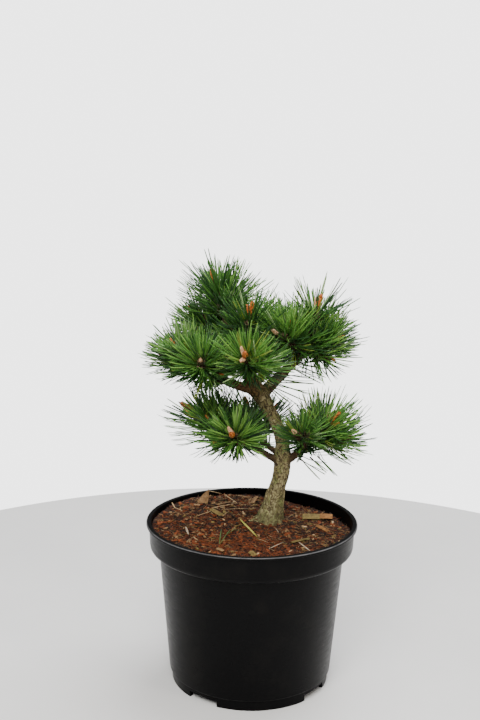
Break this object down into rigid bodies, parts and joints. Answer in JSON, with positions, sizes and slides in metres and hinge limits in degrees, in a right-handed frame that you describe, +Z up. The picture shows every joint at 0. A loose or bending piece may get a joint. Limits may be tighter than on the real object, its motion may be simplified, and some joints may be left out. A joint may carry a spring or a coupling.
{
  "type": "mugo pine in a pot",
  "caption": "Young mugo pine with a bent bare trunk, tiered boughs with tufts of paired needles and winter buds, in a round black plastic nursery pot filled with bark mulch.",
  "frame": {"origin": "centre of the pot's flat underside, on the level that the pot stands on", "axes": "+Z up through the pot, the front of the plant looks along -Y, +X to the viewer's right"},
  "size_m": [0.18, 0.1716, 0.3394],
  "materials": {
    "pot_plastic": "black moulded polypropylene with a soft gloss",
    "mulch": "matte shredded bark and fibres",
    "bark": "matte rough bark",
    "needles": "slightly waxy green needles"
  },
  "bodies": {
    "root": {"pot": "pot_plastic", "soil": "mulch", "trunk": "bark", "bough_upper_left": "bark", "bough_upper_right": "bark", "bough_back_left": "bark", "bough_back_right": "bark", "bough_lower_left": "bark", "bough_lower_right": "bark", "bough_lower_back": "bark", "foliage_top": "needles", "foliage_centre": "needles", "foliage_front": "needles", "foliage_right": "needles", "foliage_left": "needles", "foliage_back_left": "needles", "foliage_back_right": "needles", "foliage_lower_left": "needles", "foliage_lower_right": "needles", "foliage_lower_back": "needles"}
  },
  "joints": []
}
